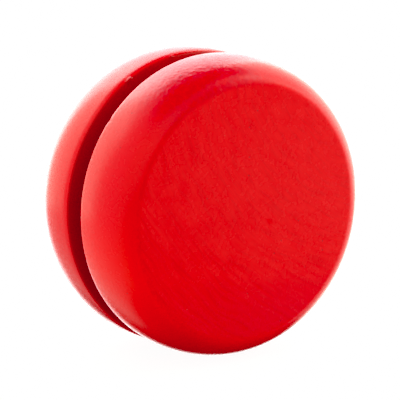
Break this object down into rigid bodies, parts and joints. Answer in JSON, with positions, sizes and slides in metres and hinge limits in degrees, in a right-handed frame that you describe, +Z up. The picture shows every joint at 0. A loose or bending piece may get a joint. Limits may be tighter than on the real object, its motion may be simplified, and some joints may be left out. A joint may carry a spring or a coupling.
{
  "type": "yo-yo",
  "caption": "Turned wooden yo-yo: flat-faced halves with full round edges, glued on a wooden dowel with a narrow gap for the string.",
  "frame": {"origin": "middle of the dowel, half way between the two halves' inner faces", "axes": "+Y along the dowel from the front half to the rear half, +Z up with the yo-yo standing on its rims"},
  "size_m": [0.055, 0.0294, 0.055],
  "materials": {
    "painted_wood": "gloss red paint over turned wood",
    "dowel_wood": "bare sanded hardwood",
    "cured_glue": "clear amber, cured"
  },
  "bodies": {
    "root": {"front_half": "painted_wood", "rear_half": "painted_wood", "axle_dowel": "dowel_wood", "front_glue": "cured_glue", "rear_glue": "cured_glue"}
  },
  "joints": []
}
